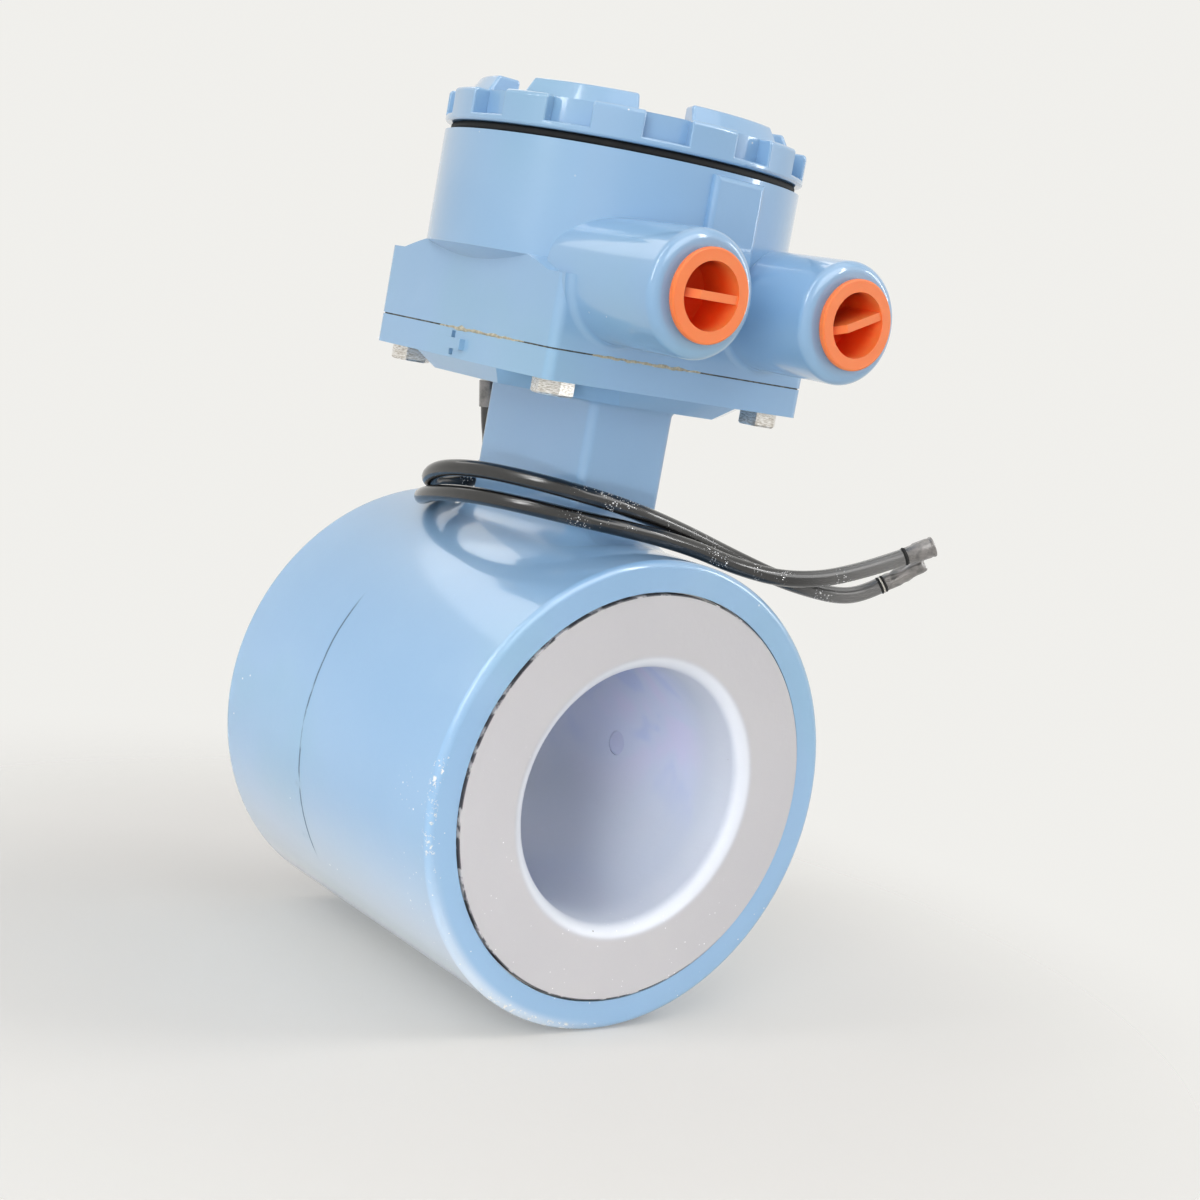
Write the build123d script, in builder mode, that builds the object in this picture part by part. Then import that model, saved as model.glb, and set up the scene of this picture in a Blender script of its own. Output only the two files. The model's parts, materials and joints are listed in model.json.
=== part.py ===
"""Wafer magnetic flow meter, remote-wired, with a junction box on its neck.

Millimetres. The origin is the centre of the flow bore, +Y runs along the flow and +Z points up
through the neck. The conduit entries face -Y.
"""
import os
from math import cos, pi, radians, sin, sqrt, tan

from build123d import *

os.makedirs("parts", exist_ok=True)

# Working allowance
cut_overshoot = 1.0            # how far a cut runs past the face that it opens

# Meter body
housing_room = 23.65           # from the flow tube to the outside of the coil housing
body_length = 115.0            # casting, without the liner faces
body_edge_round = 2.0          # rounding of the two outer rims
shell_wall = 4.0               # wall round the coil chamber
end_lip_length = 12.0          # solid lip at each end of the coil chamber
seat_depth = 9.0               # counterbore in each lip that takes an end ring
rim_width = 8.45               # painted rim, from the body's outside to the counterbore
shoulder_width = 4.2           # ledge that the end ring sits on

# Flow tube, liner and electrodes
bore_radius = 36.0             # flow bore through the liner
liner_wall = 3.0               # lining in the tube
liner_face_gap = 0.53          # thin gap round the flared face of the liner
liner_proud = 0.5              # how far the liner face stands out of the casting
liner_lip_round = 4.2          # rounded mouth of the liner
tube_wall = 3.0                # stainless flow tube
end_ring_thickness = 6.0       # ring that closes each end of the coil chamber
fit_clearance = 0.1            # slip clearance between parts that are assembled by hand
electrode_head_radius = 3.6    # wetted head, flush in the liner
electrode_head_thickness = 1.4
electrode_shank_radius = 1.5
electrode_recess = 0.15        # head lies this far behind the wall of the bore
electrode_thread_end = 1.75    # thread past the nut
electrode_room = 3.75          # from the end of the thread to the return band
sleeve_radius = 5.0            # insulating sleeve round the shank
sleeve_shoulder = 1.2          # step from the sleeve down to its neck in the tube wall
sleeve_standoff = 0.3          # sleeve to tube, since the tube is round
nut_across_flats = 7.0
nut_thickness = 2.6

# Coils and magnetic circuit
coil_standoff = 3.5            # saddle coils to flow tube
coil_width = 62.0              # across the meter
coil_length = 70.0             # along the flow
coil_corner_radius = 16.0
coil_bar = 12.0                # width of the winding
core_proud = 2.0               # how far the core stands out of the winding
pole_gap = 0.6                 # core to winding
return_band_thickness = 1.6
return_band_setback = 0.4      # each end of the band lies this far inside the cores
return_band_clearance = 0.4    # band to core
return_band_room = 2.65        # band to housing

# Neck, pad and base flange
neck_width = 28.8              # across the flow
neck_depth = 52.2              # along the flow
neck_corner_radius = 2.4
neck_foot_round = 9.0          # flare of the neck into the body
neck_foot_height = 10.35       # foot that is one piece with the body housing
neck_top_round = 2.2
neck_height = 37.65            # from the top of the body to the eight-sided pad
pad_thickness = 4.1            # its sides lean out at 45 degrees to the flange
flange_half_width = 43.95
flange_corner_radius = 2.7
flange_thickness = 8.0
wireway_radius = 7.0
tab_length = 7.0               # small cast stop on the left side of the flange
tab_height = 3.0
tab_centre = 0.5               # along the flow
tab_lift = 4.0                 # its middle, above the underside of the flange
tab_proud = 1.6
tab_pocket = 1.8

# Junction box
gasket_thickness = 0.4
gasket_inset = 0.35
gasket_hole_radius = 35.5
block_height = 19.3            # square lower part
can_radius = 50.75             # round upper part
can_height = 33.8              # from the block to the top of the can
can_cone_height = 3.1          # undercut below the can, over the flat sides
corner_cone_width = 6.25       # sloping collar on the block's corners
corner_cone_height = 3.2
floor_thickness = 6.0
block_wall = 4.45              # thinnest wall round the lower cavity
can_wall = 5.75                # wall round the upper cavity
lower_cavity_height = 16.5     # above the floor
cavity_step_height = 6.0       # slope between the two cavities
thread_wall = 4.55             # wall round the bore for the cover's thread
thread_depth = 13.0
boss_radius = 16.5
boss_side_gap = 2.19           # from the bosses to the sides of the block
boss_foot = 3.26               # from the underside of the box to the bosses
boss_reach = 27.25             # how far they stand out in front of the can
boss_edge_round = 2.8
boss_root_round = 2.0          # hollow rounding where a boss meets the block
boss_embed = 8.0               # how far the back of a boss reaches in behind the cavity wall
entry_radius = 10.5            # tapped conduit entry
entry_end = 20.0               # the entries are cut as far in as this, from the Z axis
rib_centre = 1.2               # raised pad on the can, between the bosses
rib_width = 17.0
rib_proud = 1.85               # how far its middle stands out of the can
rib_bottom = 2.9               # above the block
rib_top = 1.35                 # below the top of the can
rib_edge_round = 1.5

# Cover
cover_gap = 2.2                # open gap above the can, where the seal shows
cover_overhang = 0.35          # past the can
cover_thickness = 8.9
cover_bottom_round = 0.9
cover_top_round = 1.2
thread_clearance = 0.2         # threaded skirt of the cover in the can
spigot_length = 11.0
spigot_wall = 4.0
cover_roof = 5.0
lug_ring_step = 5.1            # ledge outside the castellated ring on top
lug_ring_slope = 2.8           # lean of its outer wall
lug_ring_width = 10.0
lug_ring_height = 4.6
lug_ring_round = 1.0
lug_end_round = 0.8            # ends of the six lugs
lug_gap_count = 6
lug_gap_angle = 18.0
pocket_count = 12
pocket_angle = 14.0
pocket_floor = 2.0             # above the cover's underside
pocket_edge_round = 0.6
pocket_depth = 4.8             # in from the rim
pocket_phase = -24.8           # turn of the first pocket from the -Y direction
seal_width = 3.1
seal_round = 0.85

# Conduit plugs
plug_flange_overlap = 1.6      # past the edge of the entry
plug_flange_thickness = 1.8
plug_flange_round = 0.5
plug_collar_overlap = 0.7
plug_collar_thickness = 0.9
plug_thread_clearance = 0.35
plug_thread_length = 15.0
plug_cup_wall = 1.4
plug_cup_depth = 14.0
plug_web_thickness = 2.2
plug_web_setback = 0.4
plug_web_sink = 0.5            # how deep the web runs into the wall of the cup
plug_web_notch_width = 3.0
plug_web_notch_depth = 2.6
plug_web_turns = {"left": 1.0, "right": 24.6}

# Fasteners
box_bolt_count = 4             # one at each corner of the flange
box_bolt_edge_distance = 7.95  # from the sides of the flange
box_bolt_head_room = 0.5       # head to pad
box_bolt_flats = 10.0
box_bolt_head = 4.1
box_bolt_radius = 2.9
box_bolt_hole_radius = 3.2
box_bolt_thread_length = 9.0
bolt_edge_chamfer = 0.5

# Terminals
terminal_block_length = 50.0
terminal_block_depth = 16.0
terminal_block_height = 12.0
terminal_corner_radius = 1.5
terminal_block_centre = 13.0   # behind the Z axis
terminal_count = 5
terminal_pitch = 8.4
terminal_slot_width = 6.6
terminal_slot_depth = 7.0
terminal_hole_floor = 1.0      # left under the screw holes
terminal_screw_gap = 0.5       # under the ends of the screws
terminal_screw_radius = 2.6
terminal_screw_head = 1.6
terminal_screw_shank_radius = 1.3
block_screw_radius = 2.4
block_screw_shank_radius = 1.5
block_screw_offset = 22.6
block_screw_depth = 4.0        # thread in the floor of the box
inner_ground_x = 27.0
inner_ground_y = -10.0
inner_ground_head_radius = 3.6
inner_ground_head = 2.4
inner_ground_washer_radius = 4.6
inner_ground_washer_thickness = 1.0
inner_ground_head_round = 0.8
inner_ground_shank_radius = 2.0

# Ground screw and straps
ground_screw_x = -2.0
ground_screw_y = 34.0
ground_screw_shank_radius = 2.0
ground_screw_thread = 8.0
ground_screw_flats = 7.0
ground_screw_head = 3.2
lug_thickness = 0.9
lug_ring_radius = 4.4
lug_hole_clearance = 0.15
lug_tongue_width = 4.0
barrel_radius = 2.3
barrel_bite = 0.4              # how far the middle of the barrel reaches into the tongue
strap_radius = 2.4
heat_sleeve_radius = 2.85
heat_sleeve_clearance = 0.05
heat_sleeve_overlap = 3.2      # how far the sleeve reaches over the strap
heat_sleeve_grip = 4.6         # how far it reaches over the barrel of the lug
end_sleeve_root = 2.5          # black sleeves on the far ends
end_sleeve_lengths = {"upper": 14.0, "lower": 9.0}
end_sleeve_mouths = {"upper": 1.9, "lower": 3.0}
end_sleeve_wall = 0.5
end_sleeve_mouth_depth = 3.0
arc_share = 0.45               # part of the shorter run that an arc takes up

# Flow tube and housing, from the bore outward
tube_inner_radius = bore_radius + liner_wall
tube_outer_radius = tube_inner_radius + tube_wall
body_radius = tube_outer_radius + housing_room

# Heights that follow from the sizes above
neck_joint_height = body_radius + neck_foot_height
pad_bottom_height = body_radius + neck_height
flange_bottom_height = pad_bottom_height + pad_thickness
flange_top_height = flange_bottom_height + flange_thickness
block_bottom_height = flange_top_height + gasket_thickness
block_top_height = block_bottom_height + block_height
floor_height = block_bottom_height + floor_thickness
can_top_height = block_top_height + can_height
boss_height = block_bottom_height + boss_foot + boss_radius
rib_bottom_height = block_top_height + rib_bottom
rib_top_height = can_top_height - rib_top
cover_bottom_height = can_top_height + cover_gap
cover_top_height = cover_bottom_height + cover_thickness

# Radii and lengths that follow
half_body = body_length / 2
seat_radius = body_radius - rim_width
shoulder_radius = seat_radius - shoulder_width
liner_face_radius = seat_radius - liner_face_gap
chamber_radius = body_radius - shell_wall
band_outer_radius = chamber_radius - return_band_room
band_inner_radius = band_outer_radius - return_band_thickness
core_top_radius = band_inner_radius - return_band_clearance
coil_outer_radius = core_top_radius - core_proud
coil_inner_radius = tube_outer_radius + coil_standoff
seat_position = half_body - seat_depth
end_ring_face = seat_position + end_ring_thickness
liner_face = half_body + liner_proud
pad_half_width = flange_half_width - pad_thickness
box_bolt_offset = flange_half_width - box_bolt_edge_distance
pad_corner_cut = 2 * box_bolt_edge_distance + sqrt(2) * (box_bolt_flats / 2 + box_bolt_head_room)
lower_cavity_radius = flange_half_width - block_wall
upper_cavity_radius = can_radius - can_wall
thread_radius = can_radius - thread_wall
corner_cone_radius = can_radius + corner_cone_width
boss_spacing = 2 * (flange_half_width - boss_side_gap - boss_radius)
boss_face = can_radius + boss_reach
boss_seat = flange_half_width - flange_corner_radius
rib_face = can_radius + rib_proud
cover_radius = can_radius + cover_overhang
spigot_radius = thread_radius - thread_clearance
lug_ring_outer_radius = cover_radius - lug_ring_step
lug_ring_top_radius = lug_ring_outer_radius - lug_ring_slope
lug_ring_inner_radius = lug_ring_outer_radius - lug_ring_width
pocket_back_radius = cover_radius - pocket_depth
plug_flange_radius = entry_radius + plug_flange_overlap
plug_collar_radius = entry_radius + plug_collar_overlap
plug_thread_radius = entry_radius - plug_thread_clearance
plug_cup_radius = plug_thread_radius - plug_cup_wall


def outline(points):
    """Filled outline through points given in the sketch's own plane."""
    return Polygon(*points, align=None)


def distance_from_axis(point):
    """Distance of a point from the Z axis."""
    return sqrt(point.X**2 + point.Y**2)


def is_upright(edge):
    """Whether an edge is a straight one that runs up."""
    return edge.geom_type == GeomType.LINE and abs(edge.tangent_at(0.5).Z) > 0.99


# Body housing: tube round the coils, with the flared foot of the neck on top
with BuildPart() as body_housing:
    with BuildSketch(Plane.XZ):
        Circle(body_radius)
    extrude(amount=half_body, both=True)
    rims = body_housing.edges().filter_by(GeomType.CIRCLE)
    fillet(rims, body_edge_round)
    with BuildSketch(Plane.XY):
        RectangleRounded(neck_width, neck_depth, neck_corner_radius)
    extrude(amount=neck_joint_height)
    foot = [
        edge
        for edge in body_housing.edges()
        if abs(edge.center().X) < neck_width / 2 + 0.5
        and abs(edge.center().Y) < neck_depth / 2 + 0.5
        and chamber_radius - 2 < edge.center().Z < body_radius + 0.5
    ]
    fillet(foot, neck_foot_round)
    with BuildSketch(Plane.XY):
        outline(
            [
                (0, -half_body - cut_overshoot),
                (seat_radius, -half_body - cut_overshoot),
                (seat_radius, -seat_position),
                (shoulder_radius, -seat_position),
                (shoulder_radius, -half_body + end_lip_length),
                (chamber_radius, -half_body + end_lip_length),
                (chamber_radius, half_body - end_lip_length),
                (shoulder_radius, half_body - end_lip_length),
                (shoulder_radius, seat_position),
                (seat_radius, seat_position),
                (seat_radius, half_body + cut_overshoot),
                (0, half_body + cut_overshoot),
            ]
        )
    revolve(axis=Axis.Y, mode=Mode.SUBTRACT)
    with BuildSketch(Plane.XY.offset(neck_joint_height)):
        Circle(wireway_radius)
    extrude(amount=-(neck_joint_height - chamber_radius + cut_overshoot), mode=Mode.SUBTRACT)
body_housing.part.label = "body_housing"
export_step(body_housing.part, "parts/body_housing.step")

# Neck with its eight-sided pad and base flange
with BuildPart() as neck:
    with BuildSketch(Plane.XY.offset(neck_joint_height)):
        RectangleRounded(neck_width, neck_depth, neck_corner_radius)
    extrude(amount=pad_bottom_height - neck_joint_height)
    pad_side = 2 * pad_half_width
    flare = 2 * pad_thickness
    with BuildSketch(Plane.XY.offset(pad_bottom_height)):
        pad_square = Rectangle(pad_side, pad_side)
        chamfer(pad_square.vertices(), pad_corner_cut)
    with BuildSketch(Plane.XY.offset(flange_bottom_height)):
        pad_square = Rectangle(pad_side + flare, pad_side + flare)
        chamfer(pad_square.vertices(), pad_corner_cut)
    loft()
    neck_top = [
        edge
        for edge in neck.edges().filter_by_position(
            Axis.Z, pad_bottom_height - 0.01, pad_bottom_height + 0.01
        )
        if abs(edge.center().X) < neck_width / 2 + 0.5 and abs(edge.center().Y) < neck_depth / 2 + 0.5
    ]
    fillet(neck_top, neck_top_round)
    with BuildSketch(Plane.XY.offset(flange_bottom_height)):
        RectangleRounded(2 * flange_half_width, 2 * flange_half_width, flange_corner_radius)
    extrude(amount=flange_thickness)
    tab_middle_height = flange_bottom_height + tab_lift
    with BuildSketch(Plane.YZ.offset(-flange_half_width)):
        with Locations((tab_centre, tab_middle_height)):
            Rectangle(tab_length, tab_height)
    extrude(amount=-tab_proud)
    tab_end = tab_centre + (tab_length - tab_pocket) / 2
    tab_pocket_offset = (tab_height + tab_pocket) / 2
    with BuildSketch(Plane.YZ.offset(-flange_half_width)):
        with Locations(
            (tab_end, tab_middle_height + tab_pocket_offset),
            (tab_end, tab_middle_height - tab_pocket_offset),
        ):
            Rectangle(tab_pocket, tab_pocket)
    extrude(amount=tab_proud, mode=Mode.SUBTRACT)
    with BuildSketch(Plane.XY.offset(flange_top_height)):
        Circle(wireway_radius)
    extrude(amount=-(flange_top_height - neck_joint_height), mode=Mode.SUBTRACT)
    with BuildSketch(Plane.XY.offset(flange_top_height)):
        with GridLocations(2 * box_bolt_offset, 2 * box_bolt_offset, 2, 2):
            Circle(box_bolt_hole_radius)
    extrude(amount=-flange_thickness, mode=Mode.SUBTRACT)
    with BuildSketch(Plane.XY.offset(pad_bottom_height)):
        with Locations((ground_screw_x, ground_screw_y)):
            Circle(ground_screw_shank_radius)
    extrude(amount=ground_screw_thread + cut_overshoot, mode=Mode.SUBTRACT)
neck.part.label = "neck"
export_step(neck.part, "parts/neck.step")

# Flow tube
electrode_tube_hole = sleeve_radius - sleeve_shoulder
with BuildPart() as flow_tube:
    with BuildSketch(Plane.XZ):
        Circle(tube_outer_radius)
        Circle(tube_inner_radius, mode=Mode.SUBTRACT)
    extrude(amount=end_ring_face, both=True)
    with BuildSketch(Plane.YZ):
        Circle(electrode_tube_hole)
    extrude(amount=tube_outer_radius + cut_overshoot, both=True, mode=Mode.SUBTRACT)
flow_tube.part.label = "flow_tube"
export_step(flow_tube.part, "parts/flow_tube.step")

# Rings that close the coil chamber, welded to the tube and to the casting
end_ring_names = {"end_ring_inlet": -1, "end_ring_outlet": 1}
for name, side in end_ring_names.items():
    with BuildPart() as end_ring:
        with BuildSketch(Plane.XZ.offset(-side * seat_position)):
            Circle(seat_radius - fit_clearance)
            Circle(tube_outer_radius + fit_clearance, mode=Mode.SUBTRACT)
        extrude(amount=-side * end_ring_thickness)
    end_ring.part.label = name
    export_step(end_ring.part, f"parts/{name}.step")

# Liner: sleeve with a flared face and a rounded mouth at each end
liner_outer = tube_inner_radius - fit_clearance
head_hole = electrode_head_radius + fit_clearance
shank_hole = electrode_shank_radius + fit_clearance
with BuildPart() as liner:
    with BuildSketch(Plane.XY):
        outline(
            [
                (bore_radius, -liner_face),
                (liner_face_radius, -liner_face),
                (liner_face_radius, -end_ring_face),
                (liner_outer, -end_ring_face),
                (liner_outer, end_ring_face),
                (liner_face_radius, end_ring_face),
                (liner_face_radius, liner_face),
                (bore_radius, liner_face),
            ]
        )
    revolve(axis=Axis.Y)
    mouths = [
        edge
        for edge in liner.edges().filter_by(GeomType.CIRCLE)
        if abs(edge.radius - bore_radius) < 0.01
    ]
    fillet(mouths, liner_lip_round)
    head_seat = bore_radius + electrode_recess + electrode_head_thickness
    for side in (-1, 1):
        with BuildSketch(Plane.YZ):
            Circle(head_hole)
        extrude(amount=side * head_seat, mode=Mode.SUBTRACT)
        with BuildSketch(Plane.YZ):
            Circle(shank_hole)
        extrude(amount=side * (tube_inner_radius + cut_overshoot), mode=Mode.SUBTRACT)
liner.part.label = "liner"
export_step(liner.part, "parts/liner.step")

# Measuring electrodes with their sleeves and nuts, one on each side
sleeve_start = tube_outer_radius + sleeve_standoff
electrode_start = bore_radius + electrode_recess
electrode_end = band_inner_radius - electrode_room
nut_start = electrode_end - electrode_thread_end - nut_thickness
for name, side in {"left": -1, "right": 1}.items():
    with BuildPart() as electrode:
        with BuildSketch(Plane.YZ.offset(side * electrode_start)):
            Circle(electrode_head_radius)
        extrude(amount=side * electrode_head_thickness)
        with BuildSketch(Plane.YZ.offset(side * electrode_start)):
            Circle(electrode_shank_radius)
        extrude(amount=side * (electrode_end - electrode_start))
    electrode.part.label = f"electrode_{name}"
    export_step(electrode.part, f"parts/electrode_{name}.step")

    with BuildPart() as sleeve:
        with BuildSketch(Plane.YZ.offset(side * sleeve_start)):
            Circle(sleeve_radius)
        extrude(amount=side * (nut_start - sleeve_start))
        with BuildSketch(Plane.YZ.offset(side * (tube_inner_radius + fit_clearance))):
            Circle(electrode_tube_hole - fit_clearance)
        extrude(amount=side * (sleeve_start - tube_inner_radius))
        with BuildSketch(Plane.YZ.offset(side * tube_inner_radius)):
            Circle(shank_hole)
        extrude(amount=side * (nut_start - tube_inner_radius + cut_overshoot), mode=Mode.SUBTRACT)
    sleeve.part.label = f"electrode_sleeve_{name}"
    export_step(sleeve.part, f"parts/electrode_sleeve_{name}.step")

with BuildPart() as electrode_nuts:
    for side in (-1, 1):
        with BuildSketch(Plane.YZ.offset(side * nut_start)):
            RegularPolygon(nut_across_flats / 2, 6, major_radius=False)
            Circle(shank_hole, mode=Mode.SUBTRACT)
        extrude(amount=side * nut_thickness)
electrode_nuts.part.label = "electrode_nuts"
export_step(electrode_nuts.part, "parts/electrode_nuts.step")

# Saddle coils and pole cores, above and below the flow tube
core_bottom_radius = tube_outer_radius + 2 * fit_clearance
core_width = coil_width - 2 * coil_bar - 2 * pole_gap
core_length = coil_length - 2 * coil_bar - 2 * pole_gap
inner_corner = coil_corner_radius - coil_bar
for name, side in {"upper": 1, "lower": -1}.items():
    with BuildPart() as coil:
        with BuildSketch(Plane.XY):
            RectangleRounded(coil_width, coil_length, coil_corner_radius)
            RectangleRounded(
                coil_width - 2 * coil_bar,
                coil_length - 2 * coil_bar,
                inner_corner,
                mode=Mode.SUBTRACT,
            )
        extrude(amount=side * body_radius)
        with BuildSketch(Plane.XZ):
            Circle(coil_outer_radius)
            Circle(coil_inner_radius, mode=Mode.SUBTRACT)
        extrude(amount=coil_length, both=True, mode=Mode.INTERSECT)
    coil.part.label = f"coil_{name}"
    export_step(coil.part, f"parts/coil_{name}.step")

    with BuildPart() as core:
        with BuildSketch(Plane.XY):
            RectangleRounded(core_width, core_length, inner_corner - pole_gap)
        extrude(amount=side * body_radius)
        with BuildSketch(Plane.XZ):
            Circle(core_top_radius)
            Circle(core_bottom_radius, mode=Mode.SUBTRACT)
        extrude(amount=coil_length, both=True, mode=Mode.INTERSECT)
    core.part.label = f"pole_core_{name}"
    export_step(core.part, f"parts/pole_core_{name}.step")

# Band that carries the magnetic flux from one core round to the other
with BuildPart() as flux_return_band:
    with BuildSketch(Plane.XZ):
        Circle(band_outer_radius)
        Circle(band_inner_radius, mode=Mode.SUBTRACT)
    extrude(amount=core_length / 2 - return_band_setback, both=True)
    with BuildSketch(Plane.XY):
        Circle(wireway_radius)
    extrude(amount=body_radius, mode=Mode.SUBTRACT)
flux_return_band.part.label = "flux_return_band"
export_step(flux_return_band.part, "parts/flux_return_band.step")

# Gasket between the base flange and the junction box
gasket_side = 2 * (flange_half_width - gasket_inset)
with BuildPart() as box_gasket:
    with BuildSketch(Plane.XY.offset(flange_top_height)):
        RectangleRounded(gasket_side, gasket_side, flange_corner_radius)
        Circle(gasket_hole_radius, mode=Mode.SUBTRACT)
        with GridLocations(2 * box_bolt_offset, 2 * box_bolt_offset, 2, 2):
            Circle(box_bolt_hole_radius, mode=Mode.SUBTRACT)
    extrude(amount=gasket_thickness)
box_gasket.part.label = "box_gasket"
export_step(box_gasket.part, "parts/box_gasket.step")

# Shapes that the castings of the junction box share
block_side = 2 * flange_half_width
boss_places = [(-boss_spacing / 2, boss_height), (boss_spacing / 2, boss_height)]
with BuildPart() as block_outside:
    with BuildSketch(Plane.XY.offset(block_bottom_height)):
        RectangleRounded(block_side, block_side, flange_corner_radius)
    extrude(amount=block_height)

with BuildPart() as box_hollow:
    with BuildSketch(Plane.XZ):
        outline(
            [
                (0, floor_height),
                (lower_cavity_radius, floor_height),
                (lower_cavity_radius, floor_height + lower_cavity_height),
                (upper_cavity_radius, floor_height + lower_cavity_height + cavity_step_height),
                (upper_cavity_radius, can_top_height - thread_depth),
                (thread_radius, can_top_height - thread_depth),
                (thread_radius, can_top_height + cut_overshoot),
                (0, can_top_height + cut_overshoot),
            ]
        )
    revolve(axis=Axis.Z)
    with BuildSketch(Plane.XZ.offset(entry_end)):
        with Locations(*boss_places):
            Circle(entry_radius)
    extrude(amount=boss_face - entry_end + cut_overshoot)

# Square lower part of the junction box, with its floor
with BuildPart() as junction_box:
    add(block_outside.part)
    add(box_hollow.part, mode=Mode.SUBTRACT)
    with BuildSketch(Plane.XY.offset(block_bottom_height)):
        Circle(wireway_radius)
    extrude(amount=floor_thickness, mode=Mode.SUBTRACT)
    with BuildSketch(Plane.XY.offset(block_bottom_height)):
        with GridLocations(2 * box_bolt_offset, 2 * box_bolt_offset, 2, 2):
            Circle(box_bolt_radius)
    extrude(amount=box_bolt_thread_length + cut_overshoot, mode=Mode.SUBTRACT)
    floor_screws = [
        (-block_screw_offset, terminal_block_centre, block_screw_shank_radius),
        (block_screw_offset, terminal_block_centre, block_screw_shank_radius),
        (inner_ground_x, inner_ground_y, inner_ground_shank_radius),
    ]
    for hole_x, hole_y, hole_radius in floor_screws:
        with BuildSketch(Plane.XY.offset(floor_height)):
            with Locations((hole_x, hole_y)):
                Circle(hole_radius)
        extrude(amount=-block_screw_depth, mode=Mode.SUBTRACT)
junction_box.part.label = "junction_box"
export_step(junction_box.part, "parts/junction_box.step")

# Round upper part: can, sloping collar on the corners, pad, and the backs of the two bosses
with BuildPart() as box_can:
    with BuildSketch(Plane.XZ):
        outline(
            [
                (0, block_top_height),
                (corner_cone_radius, block_top_height),
                (can_radius, block_top_height + corner_cone_height),
                (0, block_top_height + corner_cone_height),
            ]
        )
    revolve(axis=Axis.Z)
    with BuildSketch(Plane.XY.offset(block_top_height)):
        RectangleRounded(block_side, block_side, flange_corner_radius)
    extrude(amount=corner_cone_height, mode=Mode.INTERSECT)
    with BuildSketch(Plane.XZ):
        outline(
            [
                (0, block_top_height),
                (flange_half_width, block_top_height),
                (can_radius, block_top_height + can_cone_height),
                (can_radius, can_top_height),
                (0, can_top_height),
            ]
        )
    revolve(axis=Axis.Z)
    with BuildSketch(Plane.XY.offset(rib_bottom_height)):
        with Locations((rib_centre, -rib_face / 2)):
            Rectangle(rib_width, rib_face)
    extrude(amount=rib_top_height - rib_bottom_height)
    rib_edges = box_can.faces().filter_by(GeomType.PLANE).filter_by(Axis.Y).sort_by(Axis.Y)[0].edges()
    fillet(rib_edges, rib_edge_round)
    with BuildSketch(Plane.XZ.offset(lower_cavity_radius - boss_embed)):
        with Locations(*boss_places):
            Circle(boss_radius)
        with Locations((0, block_top_height - boss_radius)):
            Rectangle(block_side, 2 * boss_radius, mode=Mode.SUBTRACT)
    extrude(amount=boss_seat - lower_cavity_radius + boss_embed)
    with BuildSketch(Plane.XZ.offset(boss_seat)):
        with Locations(*boss_places):
            Circle(boss_radius)
    extrude(amount=boss_face - boss_seat, mode=Mode.SUBTRACT)
    add(box_hollow.part, mode=Mode.SUBTRACT)
box_can.part.label = "box_can"
export_step(box_can.part, "parts/box_can.step")

# Conduit bosses, with a hollow rounding where they meet the front of the block
for name, boss_place in zip(("left", "right"), boss_places):
    with BuildPart() as boss:
        with BuildSketch(Plane.XZ):
            with Locations((0, boss_height)):
                Rectangle(2 * block_side, 4 * boss_radius)
        extrude(amount=flange_half_width)
        with BuildSketch(Plane.XZ):
            with Locations(boss_place):
                Circle(boss_radius)
        extrude(amount=boss_face)
        fillet(boss.edges().filter_by(GeomType.CIRCLE).sort_by(Axis.Y)[-1], boss_root_round)
        fillet(boss.edges().filter_by(GeomType.CIRCLE).sort_by(Axis.Y)[0], boss_edge_round)
        with BuildSketch(Plane.XZ.offset(boss_seat)):
            with Locations(boss_place):
                Circle(boss_radius + boss_root_round)
            with Locations((0, block_top_height + block_side / 2)):
                Rectangle(2 * block_side, block_side, mode=Mode.SUBTRACT)
            with Locations(boss_place):
                Circle(boss_radius)
        extrude(amount=boss_face - boss_seat, mode=Mode.INTERSECT)
        add(block_outside.part, mode=Mode.SUBTRACT)
        add(box_hollow.part, mode=Mode.SUBTRACT)
    boss.part.label = f"conduit_boss_{name}"
    export_step(boss.part, f"parts/conduit_boss_{name}.step")

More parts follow.
